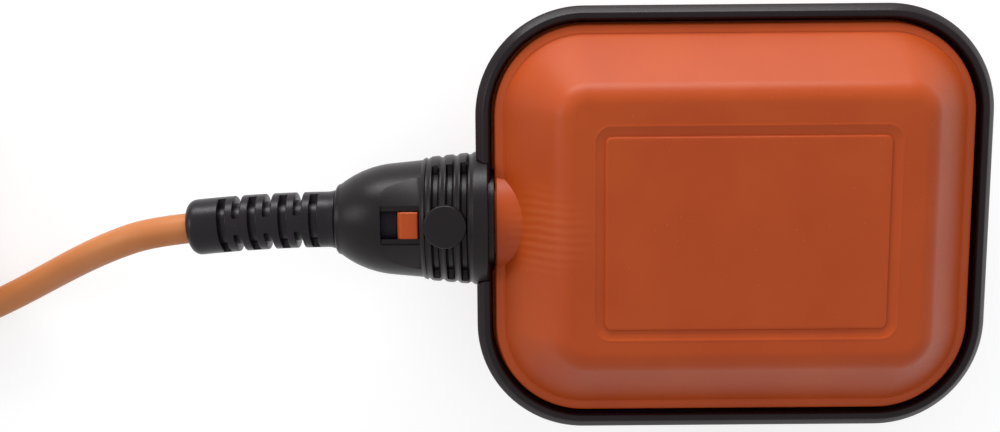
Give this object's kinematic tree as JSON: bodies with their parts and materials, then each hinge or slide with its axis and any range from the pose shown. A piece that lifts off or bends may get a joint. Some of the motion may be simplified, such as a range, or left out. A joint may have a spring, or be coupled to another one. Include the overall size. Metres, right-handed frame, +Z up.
{
  "type": "float switch",
  "caption": "Float level switch: rounded box of two shells in a black rim, slotted cable gland on one side, tethering cable coiled beside it.",
  "frame": {"origin": "middle of the back shell's flat, on the surface that the float lies on", "axes": "+X along the float, away from its cable; +Y across it; +Z up through its front flat"},
  "size_m": [0.3081, 0.093, 0.04],
  "materials": {
    "float_shell": "moulded orange polypropylene, soft gloss",
    "seal_frame": "black moulded seal frame, semi-gloss",
    "cap_plastic": "black moulded plastic, fine matt grain",
    "boot_rubber": "black rubber, slightly glossy",
    "washer_plastic": "natural nylon",
    "grommet_rubber": "black rubber",
    "carrier_plastic": "off-white moulded plastic",
    "rocker_plastic": "white acetal",
    "lid_plastic": "off-white plastic",
    "screw_steel": "zinc-plated steel",
    "pin_steel": "ground stainless steel",
    "ball_steel": "polished steel ball",
    "switch_plastic": "black thermoset",
    "switch_cover_plastic": "black thermoset",
    "plunger_plastic": "red thermoset",
    "terminal_brass": "tinned brass",
    "cable_sheath": "tan-orange round sheath, satin",
    "brown_core": "brown insulation",
    "blue_core": "blue insulation",
    "black_core": "black insulation",
    "bare_copper": "bare stranded copper"
  },
  "bodies": {
    "float": {"seal_frame": "seal_frame", "front_shell": "float_shell", "back_shell": "float_shell", "gland_cap": "cap_plastic", "cable_boot": "boot_rubber", "thrust_washer": "washer_plastic", "cable_grommet": "grommet_rubber", "mechanism_carrier": "carrier_plastic", "carrier_screws": "screw_steel", "cable_clamp": "carrier_plastic", "clamp_screws": "screw_steel", "pivot_pin": "pin_steel", "switch_case": "switch_plastic", "switch_cover": "switch_cover_plastic", "switch_screws": "screw_steel", "common_terminal": "terminal_brass", "open_terminal": "terminal_brass", "closed_terminal": "terminal_brass", "cable_in_gland": "cable_sheath", "cable": "cable_sheath", "cable_coil": "cable_sheath", "blue_wire": "blue_core", "brown_wire": "brown_core", "black_wire": "black_core", "brown_wire_end": "brown_core", "blue_wire_end": "blue_core", "black_wire_end": "black_core", "copper_ends": "bare_copper"},
    "rocker": {"rocker": "rocker_plastic", "rocker_lid": "lid_plastic"},
    "ball": {"steel_ball": "ball_steel"},
    "plunger": {"switch_plunger": "plunger_plastic"}
  },
  "joints": [
    {"name": "rocker_tilt", "type": "hinge", "parent": "float", "child": "rocker", "pos_m": [0.008, 0, 0.0175], "axis": [0, 1, 0], "range_deg": [0, 4]},
    {"name": "ball_roll", "type": "slide", "parent": "rocker", "child": "ball", "axis": [1, 0, 0], "range_m": [0, 0.0278]},
    {"name": "plunger_press", "type": "slide", "parent": "float", "child": "plunger", "axis": [0, 0, -1], "range_m": [0, 0.0012]}
  ],
  "couplings": [
    {"joint": "plunger_press", "follows": "rocker_tilt", "m_per_rad": 0.016}
  ]
}
